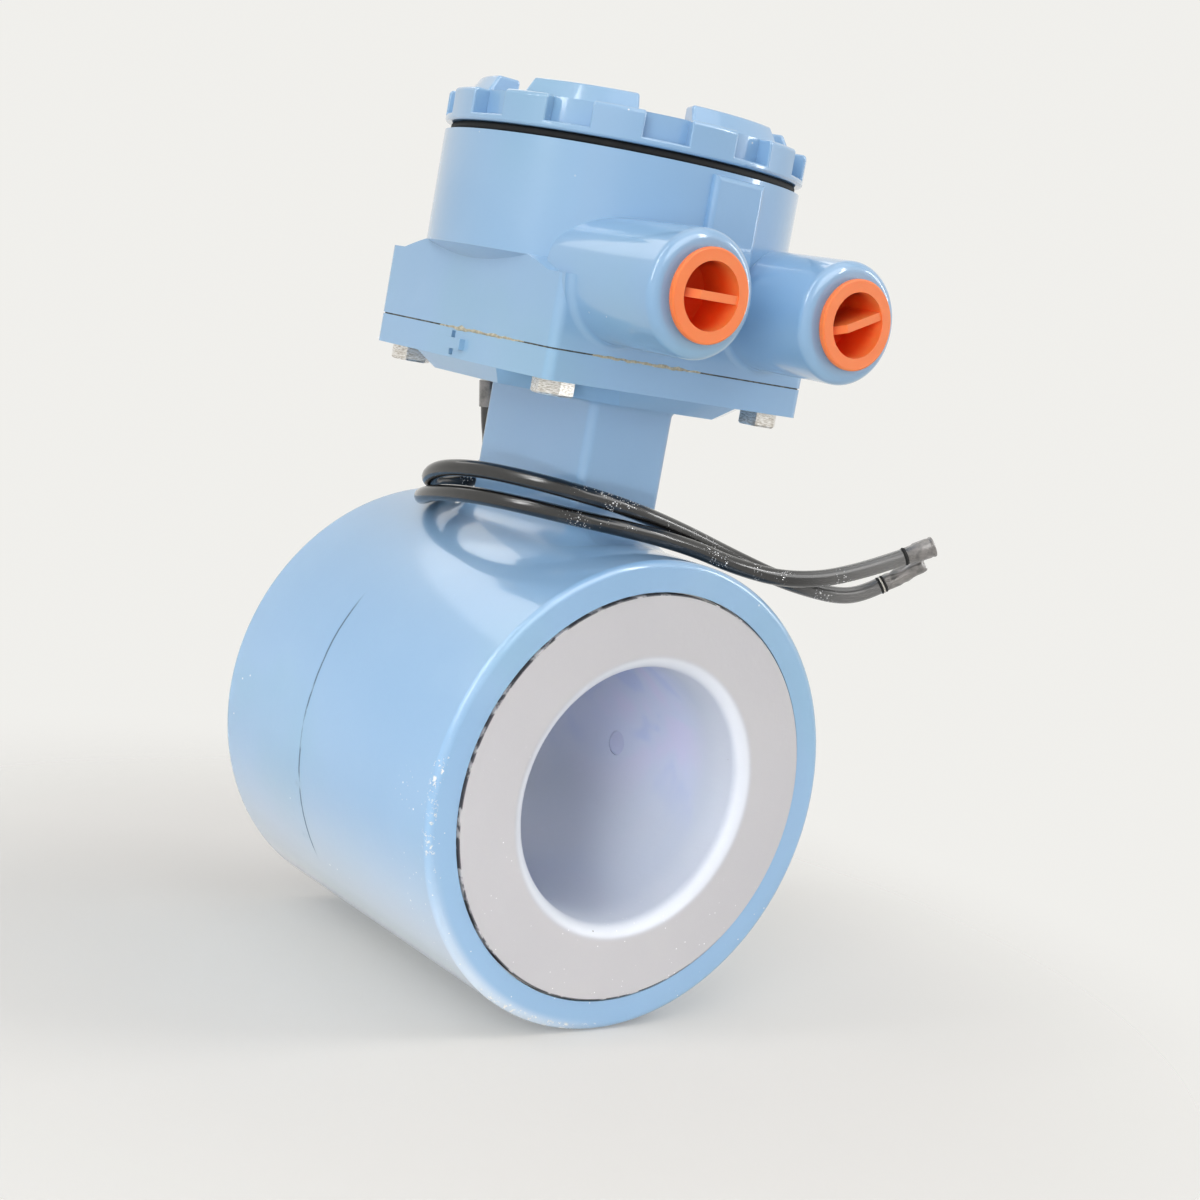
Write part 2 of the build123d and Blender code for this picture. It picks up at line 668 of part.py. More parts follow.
# Cover: threaded rim with scallops, and the roof with the castellated ring
lug_ring_top = cover_top_height + lug_ring_height
pocket_floor_height = cover_bottom_height + pocket_floor
with BuildPart() as whole_cover:
    with BuildSketch(Plane.XZ):
        outline(
            [
                (0, cover_bottom_height - spigot_length),
                (spigot_radius, cover_bottom_height - spigot_length),
                (spigot_radius, cover_bottom_height),
                (cover_radius, cover_bottom_height),
                (cover_radius, cover_top_height),
                (lug_ring_outer_radius, cover_top_height),
                (lug_ring_top_radius, lug_ring_top),
                (lug_ring_inner_radius, lug_ring_top),
                (lug_ring_inner_radius, cover_top_height),
                (0, cover_top_height),
            ]
        )
    revolve(axis=Axis.Z)
    outer_rims = whole_cover.edges().filter_by(GeomType.CIRCLE).group_by(SortBy.RADIUS)[-1]
    fillet(outer_rims.sort_by(Axis.Z)[0], cover_bottom_round)
    outer_rims = whole_cover.edges().filter_by(GeomType.CIRCLE).group_by(SortBy.RADIUS)[-1]
    fillet(outer_rims.sort_by(Axis.Z)[-1], cover_top_round)
    ring_crest = whole_cover.edges().filter_by(GeomType.CIRCLE).group_by(Axis.Z)[-1]
    fillet(ring_crest, lug_ring_round)
    with BuildSketch(Plane.XY.offset(cover_bottom_height - spigot_length)):
        Circle(spigot_radius - spigot_wall)
    extrude(amount=spigot_length + cover_thickness - cover_roof, mode=Mode.SUBTRACT)
    pocket_width = 2 * cover_radius * sin(radians(pocket_angle / 2))
    with BuildSketch(Plane.XY.offset(pocket_floor_height)):
        with PolarLocations(cover_radius, pocket_count, start_angle=pocket_phase - 90):
            Rectangle(4 * (cover_radius - pocket_back_radius), pocket_width)
        Circle(pocket_back_radius, mode=Mode.SUBTRACT)
    extrude(amount=cover_thickness, mode=Mode.SUBTRACT)
    lug_gap_width = 2 * lug_ring_outer_radius * sin(radians(lug_gap_angle / 2))
    with BuildSketch(Plane.XY.offset(cover_top_height)):
        with PolarLocations(lug_ring_outer_radius, lug_gap_count, start_angle=pocket_phase - 90):
            Rectangle(3 * (lug_ring_outer_radius - lug_ring_inner_radius), lug_gap_width)
    extrude(amount=lug_ring_height + cut_overshoot, mode=Mode.SUBTRACT)
    pocket_edges = [
        edge
        for edge in whole_cover.edges()
        if abs(distance_from_axis(edge.position_at(0.5)) - cover_radius) < 0.3
        and (is_upright(edge) or abs(edge.center().Z - pocket_floor_height) < 0.01)
    ]
    fillet(pocket_edges, pocket_edge_round)
    lug_ends = [
        edge
        for edge in whole_cover.edges().filter_by(GeomType.LINE)
        if edge.center().Z > cover_top_height + pocket_edge_round
        and distance_from_axis(edge.center()) < lug_ring_outer_radius + 0.5
    ]
    fillet(lug_ends, lug_end_round)
roof_height = cover_top_height - cover_roof
for name, kept in {"cover": Keep.BOTTOM, "cover_roof": Keep.TOP}.items():
    with BuildPart() as cover:
        add(whole_cover.part)
        split(bisect_by=Plane.XY.offset(roof_height), keep=kept)
    cover.part.label = name
    export_step(cover.part, f"parts/{name}.step")

# Seal squeezed in the gap under the cover
seal_inner = spigot_radius + fit_clearance
with BuildPart() as cover_seal:
    with BuildSketch(Plane.XZ):
        with Locations((seal_inner + seal_width / 2, can_top_height + cover_gap / 2)):
            RectangleRounded(seal_width, cover_gap, seal_round)
    revolve(axis=Axis.Z)
cover_seal.part.label = "cover_seal"
export_step(cover_seal.part, "parts/cover_seal.step")

# Conduit plugs
plug_flange_back = boss_face + plug_collar_thickness
plug_front = plug_flange_back + plug_flange_thickness
for name, side in {"left": -1, "right": 1}.items():
    plug_x = side * boss_spacing / 2
    with BuildPart() as plug:
        with BuildSketch(Plane.XZ.offset(plug_flange_back)):
            with Locations((plug_x, boss_height)):
                Circle(plug_flange_radius)
        extrude(amount=plug_flange_thickness)
        with BuildSketch(Plane.XZ.offset(boss_face)):
            with Locations((plug_x, boss_height)):
                Circle(plug_collar_radius)
        extrude(amount=plug_collar_thickness)
        with BuildSketch(Plane.XZ.offset(boss_face)):
            with Locations((plug_x, boss_height)):
                Circle(plug_thread_radius)
        extrude(amount=-plug_thread_length)
        flange_rim = plug.edges().filter_by(GeomType.CIRCLE).group_by(SortBy.RADIUS)[-1]
        fillet(flange_rim, plug_flange_round)
        with BuildSketch(Plane.XZ.offset(plug_front)):
            with Locations((plug_x, boss_height)):
                Circle(plug_cup_radius)
        extrude(amount=-plug_cup_depth, mode=Mode.SUBTRACT)
        web_front = plug_front - plug_web_setback
        web_back = plug_front - plug_cup_depth
        turn = plug_web_turns[name]
        web_plane = Plane(
            origin=(plug_x, 0, boss_height),
            x_dir=(cos(radians(turn)), 0, sin(radians(turn))),
            z_dir=(-sin(radians(turn)), 0, cos(radians(turn))),
        )
        notch_back = web_front - plug_web_notch_depth
        half_web = plug_cup_radius + plug_web_sink
        with BuildSketch(web_plane):
            outline(
                [
                    (-half_web, -web_back),
                    (half_web, -web_back),
                    (half_web, -web_front),
                    (-half_web + 2 * plug_web_notch_width, -web_front),
                    (-half_web + plug_web_notch_width, -notch_back),
                    (-half_web, -notch_back),
                ]
            )
        extrude(amount=plug_web_thickness / 2, both=True)
    plug.part.label = f"conduit_plug_{name}"
    export_step(plug.part, f"parts/conduit_plug_{name}.step")

# Bolts that hold the junction box down on the base flange
with BuildPart() as box_bolts:
    bolt_circle = PolarLocations(box_bolt_offset * sqrt(2), box_bolt_count, start_angle=180 / box_bolt_count)
    with BuildSketch(Plane.XY.offset(flange_bottom_height)):
        with bolt_circle:
            RegularPolygon(box_bolt_flats / 2, 6, major_radius=False, rotation=30)
    extrude(amount=-box_bolt_head)
    with BuildSketch(Plane.XY.offset(flange_bottom_height)):
        with bolt_circle:
            Circle(box_bolt_radius)
    extrude(amount=flange_thickness + gasket_thickness + box_bolt_thread_length)
    head_rims = box_bolts.edges().group_by(Axis.Z)[0]
    chamfer(head_rims, bolt_edge_chamfer)
box_bolts.part.label = "box_bolts"
export_step(box_bolts.part, "parts/box_bolts.step")

# Terminal block with its screws
terminal_top = floor_height + terminal_block_height
slot_floor = terminal_top - terminal_slot_depth
screw_y = terminal_block_centre
terminal_hole_depth = terminal_block_height - terminal_slot_depth - terminal_hole_floor
with BuildPart() as terminal_block:
    with BuildSketch(Plane.XY.offset(floor_height)):
        with Locations((0, screw_y)):
            RectangleRounded(terminal_block_length, terminal_block_depth, terminal_corner_radius)
    extrude(amount=terminal_block_height)
    with BuildSketch(Plane.XY.offset(terminal_top)):
        with Locations((0, screw_y)):
            with GridLocations(terminal_pitch, 1, terminal_count, 1):
                Rectangle(terminal_slot_width, terminal_block_depth + 2 * cut_overshoot)
    extrude(amount=-terminal_slot_depth, mode=Mode.SUBTRACT)
    with BuildSketch(Plane.XY.offset(slot_floor)):
        with Locations((0, screw_y)):
            with GridLocations(terminal_pitch, 1, terminal_count, 1):
                Circle(terminal_screw_shank_radius)
    extrude(amount=-terminal_hole_depth, mode=Mode.SUBTRACT)
    with BuildSketch(Plane.XY.offset(terminal_top)):
        with Locations((-block_screw_offset, screw_y), (block_screw_offset, screw_y)):
            Circle(block_screw_shank_radius + fit_clearance)
    extrude(amount=-terminal_block_height, mode=Mode.SUBTRACT)
terminal_block.part.label = "terminal_block"
export_step(terminal_block.part, "parts/terminal_block.step")

with BuildPart() as terminal_screws:
    with BuildSketch(Plane.XY.offset(slot_floor)):
        with Locations((0, screw_y)):
            with GridLocations(terminal_pitch, 1, terminal_count, 1):
                Circle(terminal_screw_radius)
    extrude(amount=terminal_screw_head)
    with BuildSketch(Plane.XY.offset(slot_floor)):
        with Locations((0, screw_y)):
            with GridLocations(terminal_pitch, 1, terminal_count, 1):
                Circle(terminal_screw_shank_radius - fit_clearance)
    extrude(amount=terminal_screw_gap - terminal_hole_depth)
terminal_screws.part.label = "terminal_screws"
export_step(terminal_screws.part, "parts/terminal_screws.step")

with BuildPart() as block_screws:
    for screw_x in (-block_screw_offset, block_screw_offset):
        with BuildSketch(Plane.XY.offset(terminal_top)):
            with Locations((screw_x, screw_y)):
                Circle(block_screw_radius)
        extrude(amount=terminal_screw_head)
        with BuildSketch(Plane.XY.offset(terminal_top)):
            with Locations((screw_x, screw_y)):
                Circle(block_screw_shank_radius)
        extrude(amount=-(terminal_block_height + block_screw_depth))
block_screws.part.label = "block_screws"
export_step(block_screws.part, "parts/block_screws.step")

# Grounding screw inside the box, with its washer
with BuildPart() as inner_ground_washer:
    with BuildSketch(Plane.XY.offset(floor_height)):
        with Locations((inner_ground_x, inner_ground_y)):
            Circle(inner_ground_washer_radius)
            Circle(inner_ground_shank_radius + fit_clearance, mode=Mode.SUBTRACT)
    extrude(amount=inner_ground_washer_thickness)
inner_ground_washer.part.label = "inner_ground_washer"
export_step(inner_ground_washer.part, "parts/inner_ground_washer.step")

with BuildPart() as inner_ground_screw:
    with BuildSketch(Plane.XY.offset(floor_height + inner_ground_washer_thickness)):
        with Locations((inner_ground_x, inner_ground_y)):
            Circle(inner_ground_head_radius)
    extrude(amount=inner_ground_head)
    fillet(inner_ground_screw.edges().group_by(Axis.Z)[-1], inner_ground_head_round)
    with BuildSketch(Plane.XY.offset(floor_height + inner_ground_washer_thickness)):
        with Locations((inner_ground_x, inner_ground_y)):
            Circle(inner_ground_shank_radius)
    extrude(amount=-(inner_ground_washer_thickness + block_screw_depth))
inner_ground_screw.part.label = "inner_ground_screw"
export_step(inner_ground_screw.part, "parts/inner_ground_screw.step")

# Grounding screw under the pad, behind the neck
ground_head_height = pad_bottom_height - 2 * lug_thickness
with BuildPart() as ground_screw:
    with BuildSketch(Plane.XY.offset(ground_head_height)):
        with Locations((ground_screw_x, ground_screw_y)):
            RegularPolygon(ground_screw_flats / 2, 6, major_radius=False, rotation=30)
    extrude(amount=-ground_screw_head)
    chamfer(ground_screw.edges().group_by(Axis.Z)[0], bolt_edge_chamfer)
    with BuildSketch(Plane.XY.offset(ground_head_height)):
        with Locations((ground_screw_x, ground_screw_y)):
            Circle(ground_screw_shank_radius)
    extrude(amount=2 * lug_thickness + ground_screw_thread)
ground_screw.part.label = "ground_screw"
export_step(ground_screw.part, "parts/ground_screw.step")

# Ground straps. Each route starts at its ring lug and ends at its end sleeve.
strap_routes = {
    "upper": [
        (-8.6, 34, 96.6),
        (-7.6, 33.6, 90),
        (-5.6, 33.2, 83),
        (-6, 32.2, 76),
        (-12, 31.5, 70.8),
        (-21.5, 29.8, 69.3),
        (-31, 24.5, 71),
        (-35.6, 13, 75.6),
        (-34.6, -2, 78.4),
        (-29, -17.5, 79),
        (-21, -30.5, 78.4),
        (-8, -38, 76.6),
        (13, -37.6, 71.8),
        (34, -39.3, 65.4),
        (48, -43.8, 61.2),
        (58, -48.2, 59.4),
        (65.8, -52.4, 58.9),
        (71.6, -55.6, 60.9),
        (75.8, -58.2, 64.4),
    ],
    "lower": [
        (4.8, 34, 95.6),
        (4.2, 35.2, 88),
        (1.5, 37.8, 80),
        (-4.5, 40, 72.5),
        (-13, 40.3, 67.2),
        (-22, 36.8, 64.8),
        (-29.3, 29.3, 65),
        (-34, 16, 68.2),
        (-34.2, -1, 71),
        (-28.8, -17.5, 71.8),
        (-17.5, -31.8, 71.2),
        (-2, -41, 70.2),
        (15, -43.8, 67.7),
        (30, -45.5, 63.8),
        (46, -50, 61.8),
        (61.9, -57.4, 65.6),
        (75.2, -65.2, 74),
    ],
}
lug_sides = {"upper": -1, "lower": 1}
lug_tops = {"upper": pad_bottom_height, "lower": pad_bottom_height - lug_thickness}


def corner_radii(points):
    """Radius of the arc at each inner corner of a route, as large as its two runs allow."""
    radii = []
    for before, corner, after in zip(points, points[1:], points[2:]):
        run_in = Vector(*corner) - Vector(*before)
        run_out = Vector(*after) - Vector(*corner)
        half_turn = radians(run_in.get_angle(run_out) / 2)
        radii.append(arc_share * min(run_in.length, run_out.length) / tan(half_turn))
    return radii


for name, route in strap_routes.items():
    start = Vector(*route[0])
    first_run = (Vector(*route[1]) - start).normalized()
    last_run = (Vector(*route[-1]) - Vector(*route[-2])).normalized()
    end = Vector(*route[-1])
    radii = corner_radii(route)

    with BuildPart() as strap:
        with BuildLine():
            centre_line = FilletPolyline(*route, radius=radii)
        with BuildSketch(Plane(origin=start, z_dir=first_run)):
            Circle(strap_radius)
        sweep()
    strap.part.label = f"ground_strap_{name}"
    export_step(strap.part, f"parts/ground_strap_{name}.step")
    expected = centre_line.length * pi * strap_radius**2
    volume_share = strap.part.volume / expected
    print(f"{name} strap: length {centre_line.length:.1f}, volume {volume_share:.4f} of section x length")
    print(f"{name} strap radii:", ", ".join(f"{radius:.1f}" for radius in radii))

    lug_top = lug_tops[name]
    tongue_height = lug_top - lug_thickness + barrel_bite
    barrel_length = (tongue_height - start.Z) / -first_run.Z
    lug_side = lug_sides[name]
    barrel_top = start - first_run * barrel_length
    tongue_length = abs(barrel_top.X - ground_screw_x)
    with BuildPart() as lug:
        with BuildSketch(Plane.XY.offset(lug_top)):
            with Locations((ground_screw_x, ground_screw_y)):
                Circle(lug_ring_radius)
            with Locations((ground_screw_x + lug_side * tongue_length / 2, ground_screw_y)):
                Rectangle(tongue_length, lug_tongue_width)
            with Locations((ground_screw_x, ground_screw_y)):
                Circle(ground_screw_shank_radius + lug_hole_clearance, mode=Mode.SUBTRACT)
        extrude(amount=-lug_thickness)
        with BuildSketch(Plane(origin=start, z_dir=-first_run)):
            Circle(barrel_radius)
        extrude(amount=barrel_length)
    lug.part.label = f"strap_lug_{name}"
    export_step(lug.part, f"parts/strap_lug_{name}.step")

    sleeve_bore = strap_radius + heat_sleeve_clearance
    with BuildPart() as heat_sleeve:
        with BuildSketch(Plane(origin=start + first_run * heat_sleeve_overlap, z_dir=-first_run)):
            Circle(heat_sleeve_radius)
            Circle(sleeve_bore, mode=Mode.SUBTRACT)
        extrude(amount=heat_sleeve_overlap + heat_sleeve_grip)
    heat_sleeve.part.label = f"lug_sleeve_{name}"
    export_step(heat_sleeve.part, f"parts/lug_sleeve_{name}.step")

    sleeve_length_out = end_sleeve_lengths[name]
    mouth_radius = end_sleeve_mouths[name]
    with BuildPart() as end_sleeve:
        with BuildSketch(Plane(origin=end, z_dir=last_run)):
            Circle(end_sleeve_root)
        with BuildSketch(Plane(origin=end + last_run * sleeve_length_out, z_dir=last_run)):
            Circle(mouth_radius)
        loft()
        with BuildSketch(Plane(origin=end + last_run * sleeve_length_out, z_dir=last_run)):
            Circle(mouth_radius - end_sleeve_wall)
        extrude(amount=-end_sleeve_mouth_depth, mode=Mode.SUBTRACT)
    end_sleeve.part.label = f"end_sleeve_{name}"
    export_step(end_sleeve.part, f"parts/end_sleeve_{name}.step")
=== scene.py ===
"""Finishes, straps and small pieces for the wafer magnetic flow meter, in metres."""
import json
import math

import bmesh
import bpy
from mathutils import Matrix, Vector, noise


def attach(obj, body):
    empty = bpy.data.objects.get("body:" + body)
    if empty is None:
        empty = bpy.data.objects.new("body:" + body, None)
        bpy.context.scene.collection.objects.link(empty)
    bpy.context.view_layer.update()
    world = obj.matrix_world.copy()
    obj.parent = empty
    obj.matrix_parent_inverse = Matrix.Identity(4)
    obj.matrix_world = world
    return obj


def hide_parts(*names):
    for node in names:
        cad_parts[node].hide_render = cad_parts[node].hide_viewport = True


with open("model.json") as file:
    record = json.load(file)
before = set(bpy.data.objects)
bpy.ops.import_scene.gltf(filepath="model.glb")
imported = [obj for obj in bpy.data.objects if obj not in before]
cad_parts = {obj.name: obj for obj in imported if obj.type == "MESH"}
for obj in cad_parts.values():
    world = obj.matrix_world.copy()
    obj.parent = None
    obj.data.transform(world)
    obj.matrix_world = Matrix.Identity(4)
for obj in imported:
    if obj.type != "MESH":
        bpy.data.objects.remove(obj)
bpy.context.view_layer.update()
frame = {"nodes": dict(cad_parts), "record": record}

MM = 0.001


# Camera: fitted to the photograph's outlines. It leans by ten degrees.
CAMERA_PLACE = (-0.34150, -0.46636, 0.12625)
CAMERA_RIGHT = (0.77164, -0.60984, 0.18070)
CAMERA_UP = (-0.07431, 0.19571, 0.97783)
CAMERA_BACK = (-0.63169, -0.76798, 0.10570)


def place_camera():
    """Stands the camera low, to the left of the meter's inlet face."""
    data = bpy.data.cameras.new("view_from_inlet")
    data.lens = 60.307
    data.sensor_width = 36.0
    data.shift_x = -0.0576
    data.shift_y = -0.0464
    data.clip_start = 0.01
    camera = bpy.data.objects.new("view_from_inlet", data)
    turn = Matrix((CAMERA_RIGHT, CAMERA_UP, CAMERA_BACK)).transposed().to_4x4()
    camera.matrix_world = Matrix.Translation(CAMERA_PLACE) @ turn
    bpy.context.collection.objects.link(camera)
    bpy.context.scene.camera = camera


place_camera()


class Signal:
    """A shader socket that takes part in plain arithmetic."""

    def __init__(self, finish, socket):
        self.finish = finish
        self.socket = socket

    def math(self, operation, *others):
        inputs = dict(enumerate((self, *others)))
        return self.finish.make("ShaderNodeMath", inputs, operation=operation)

    def __add__(self, other):
        return self.math("ADD", other)

    def __radd__(self, other):
        return self.math("ADD", other)

    def __sub__(self, other):
        return self.math("SUBTRACT", other)

    def __rsub__(self, other):
        return self.finish.make("ShaderNodeMath", {0: other, 1: self}, operation="SUBTRACT")

    def __mul__(self, other):
        return self.math("MULTIPLY", other)

    def __pow__(self, other):
        return self.math("POWER", other)

    def size(self):
        return self.math("ABSOLUTE")

    def larger(self, other):
        return self.math("MAXIMUM", other)

    def rise(self, low, high):
        """0 below low, 1 above high, a smooth slope between; falls where low > high."""
        if low < high:
            return self.finish.make(
                "ShaderNodeMapRange",
                {"Value": self, "From Min": low, "From Max": high},
                interpolation_type="SMOOTHSTEP",
            )
        return 1 - self.rise(high, low)

    def band(self, middle, half_width, edge):
        """1 within half_width of middle, fading out over edge."""
        return (self - middle).size().rise(half_width + edge, half_width)


class Finish:
    """A material on the piece's own coordinates, with a Principled shader."""

    def __init__(self, name, **constants):
        self.material = bpy.data.materials.new(name)
        self.material.use_nodes = True
        self.tree = self.material.node_tree
        self.shader = self.tree.nodes["Principled BSDF"]
        for label, value in constants.items():
            self.shader.inputs[self.label(label)].default_value = value
        self.place = self.make("ShaderNodeTexCoord", output="Object")
        self.x = self.axis(0)
        self.y = self.axis(1)
        self.z = self.axis(2)

    @staticmethod
    def label(name):
        return name.replace("_", " ").title().replace("Ior", "IOR")

    def make(self, kind, inputs=None, output=0, stops=None, **settings):
        node = self.tree.nodes.new(kind)
        for label, value in settings.items():
            setattr(node, label, value)
        if stops:
            ramp = node.color_ramp
            while len(ramp.elements) < len(stops):
                ramp.elements.new(0.5)
            for element, (position, colour) in zip(ramp.elements, stops):
                element.position = position
                element.color = (*colour, 1.0)
        for label, value in (inputs or {}).items():
            if isinstance(value, Signal):
                self.tree.links.new(value.socket, node.inputs[label])
            elif isinstance(value, tuple) and len(value) == 3 and node.inputs[label].type == "RGBA":
                node.inputs[label].default_value = (*value, 1.0)
            else:
                node.inputs[label].default_value = value
        return Signal(self, node.outputs[output])

    def axis(self, index):
        return self.make("ShaderNodeSeparateXYZ", {0: self.place}, output=index)

    def stretched(self, scale):
        return self.make("ShaderNodeMapping", {"Vector": self.place, "Scale": scale})

    def radius(self):
        """Distance from the flow axis."""
        return (self.x * self.x + self.z * self.z) ** 0.5

    def cloud(self, scale, detail=2.0, roughness=0.5, stretch=None, distortion=0.0):
        """Soft noise from 0 to 1, with scale features in a metre."""
        place = self.stretched(stretch) if stretch else self.place
        return self.make(
            "ShaderNodeTexNoise",
            {
                "Vector": place,
                "Scale": scale,
                "Detail": detail,
                "Roughness": roughness,
                "Distortion": distortion,
            },
        )

    def specks(self, scale, radius, share):
        """Round specks of the given radius in a cell, on a share of the cells."""
        cells = {"Vector": self.place, "Scale": scale}
        near = self.make("ShaderNodeTexVoronoi", cells)
        shade = self.make("ShaderNodeTexVoronoi", cells, output="Color")
        chosen = self.make("ShaderNodeSeparateColor", {0: shade}).rise(1 - share, 1 - share + 0.01)
        return near.rise(radius, radius * 0.6) * chosen

    def mix(self, first, second, share):
        inputs = {0: share, 6: first, 7: second}
        return self.make("ShaderNodeMix", inputs, output=2, data_type="RGBA")

    def ramp(self, value, *stops):
        return self.make("ShaderNodeValToRGB", {0: value}, stops=stops)

    def bump(self, height, distance):
        inputs = {"Height": height, "Distance": distance, "Strength": 1.0}
        return self.make("ShaderNodeBump", inputs)

    def surface(self, **sockets):
        for label, value in sockets.items():
            target = self.shader.inputs[self.label(label)]
            if isinstance(value, Signal):
                self.tree.links.new(value.socket, target)
            elif isinstance(value, tuple):
                target.default_value = (*value, 1.0)
            else:
                target.default_value = value
        return self.material


# Sizes that the finishes follow, as in the solids, and the paint's tones
BORE_RADIUS = 36.0 * MM
LINER_EDGE = 56.5 * MM
BODY_RADIUS = 65.65 * MM
BODY_FRONT = -57.5 * MM
PLUG_SIDE = 25.3 * MM
PLUG_HEIGHT = 135.6 * MM
PLUG_FRONT = -80.7 * MM
CUP_RADIUS = 8.75 * MM
BLUE = (0.285, 0.475, 0.700)
BLUE_PALE = (0.33, 0.52, 0.73)
BLUE_DEEP = (0.240, 0.430, 0.660)
BLUE_TEAL = (0.245, 0.455, 0.620)
BARE = (0.80, 0.80, 0.78)


def enamel():
    """Glossy blue enamel with a faint orange peel, rubbed and chipped on the front rim."""
    paint = Finish("blue_enamel", coat_roughness=0.07)
    radius = paint.radius()
    drift = paint.cloud(9, detail=3)
    colour = paint.mix(BLUE_DEEP, BLUE, drift.rise(0.25, 0.6))
    colour = paint.mix(colour, BLUE_PALE, paint.cloud(26, detail=2).rise(0.55, 0.8) * 0.5)
    colour = paint.mix(colour, BLUE_TEAL, paint.cloud(17, detail=2).rise(0.48, 0.72) * 0.6)

    on_rim = radius.band(BODY_RADIUS - 0.9 * MM, 0.9 * MM, 0.7 * MM)
    on_rim = on_rim * paint.y.rise(BODY_FRONT + 3.2 * MM, BODY_FRONT + 1.8 * MM)
    left_rim = paint.z.band(-3 * MM, 9 * MM, 14 * MM) * paint.x.rise(-40 * MM, -52 * MM)
    low_rim = paint.z.rise(-44 * MM, -56 * MM) * paint.x.rise(4 * MM, -6 * MM)
    ragged = paint.cloud(560, detail=6, roughness=0.75) - (1 - left_rim.larger(low_rim)) * 0.12
    chips = on_rim * left_rim.larger(low_rim).rise(0.05, 0.2) * ragged.rise(0.555, 0.58)
    dust = paint.specks(900, 0.22, 0.05) * paint.y.rise(-30 * MM, -52 * MM)
    dust = dust * paint.z.rise(20 * MM, -25 * MM)
    stray = paint.specks(260, 0.09, 0.12) * paint.cloud(40).rise(0.5, 0.6)

    wander = (paint.cloud(30) - 0.5) * (1.6 * MM)
    scuff_line = (paint.y + wander).band(11 * MM, 0.20 * MM, 0.35 * MM)
    flank = paint.x.rise(-52 * MM, -57 * MM) * paint.z.band(0, 33 * MM, 14 * MM)
    broken = paint.cloud(160, detail=4, stretch=(1, 4, 1)).rise(0.30, 0.50)
    scuff = scuff_line * flank * broken
    smear = (paint.y + wander).band(13 * MM, 2.4 * MM, 3 * MM) * flank
    smear = smear * paint.z.rise(-4 * MM, -20 * MM) * paint.cloud(140, detail=5).rise(0.55, 0.75)

    # Painted reflection: the lower left of the body is lightened towards pale grey-blue, standing in for the
    # white floor seen in the gloss.
    painted_floor_reflection = paint.z.rise(-6 * MM, -54 * MM) * paint.x.rise(8 * MM, -24 * MM)
    painted_floor_reflection = painted_floor_reflection * radius.rise(BODY_RADIUS - 4 * MM, BODY_RADIUS - MM)
    colour = paint.mix(colour, (0.72, 0.79, 0.86), painted_floor_reflection * (0.52 + drift * 0.4))
    colour = paint.mix(colour, (0.06, 0.11, 0.18), scuff * 0.9)
    colour = paint.mix(colour, (0.25, 0.33, 0.42), smear * 0.5)
    white = chips.larger(dust).larger(stray)
    colour = paint.mix(colour, BARE, white)
    worn = white.larger(scuff).larger(smear * 0.6)

    peel = paint.cloud(330, detail=2, roughness=0.4) * 0.5 + paint.cloud(60, detail=1)
    return paint.surface(
        base_color=colour,
        roughness=0.32 + worn * 0.40,
        coat_weight=1 - worn * 0.9,
        normal=paint.bump(peel - chips * 0.6, 0.10 * MM),
    )


